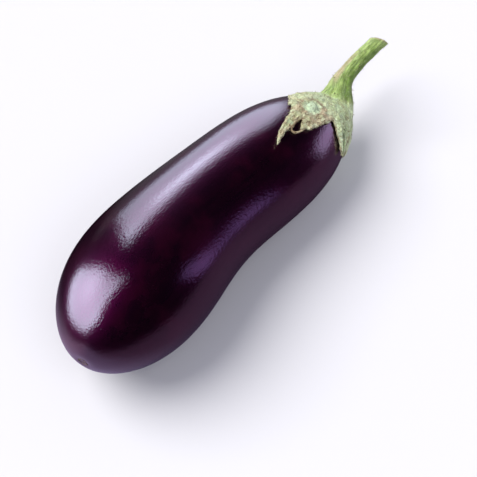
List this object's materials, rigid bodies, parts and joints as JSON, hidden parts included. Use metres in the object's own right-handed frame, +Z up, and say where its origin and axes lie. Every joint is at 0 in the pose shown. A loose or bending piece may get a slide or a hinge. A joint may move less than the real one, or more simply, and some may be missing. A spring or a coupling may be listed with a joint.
{
  "type": "eggplant",
  "caption": "Long glossy dark purple fruit, fuller at the blossom end, with a lobed pale green calyx capping its neck and a curved ribbed green stem, lying on its side.",
  "frame": {"origin": "centre of the small flat spot on the belly that the eggplant rests on", "axes": "+X along the fruit towards its stem, +Z up, away from the surface it lies on"},
  "size_m": [0.2413, 0.076, 0.0749],
  "materials": {
    "skin": "near-black purple skin with maroon tints, very glossy natural wax bloom",
    "calyx": "matt leathery pale green with tan and brown mottling and dry margins",
    "stem": "matt fibrous green with paler ribs and fine pale hairs"
  },
  "bodies": {
    "root": {"fruit": "skin", "calyx": "calyx", "stem": "stem"}
  },
  "joints": []
}
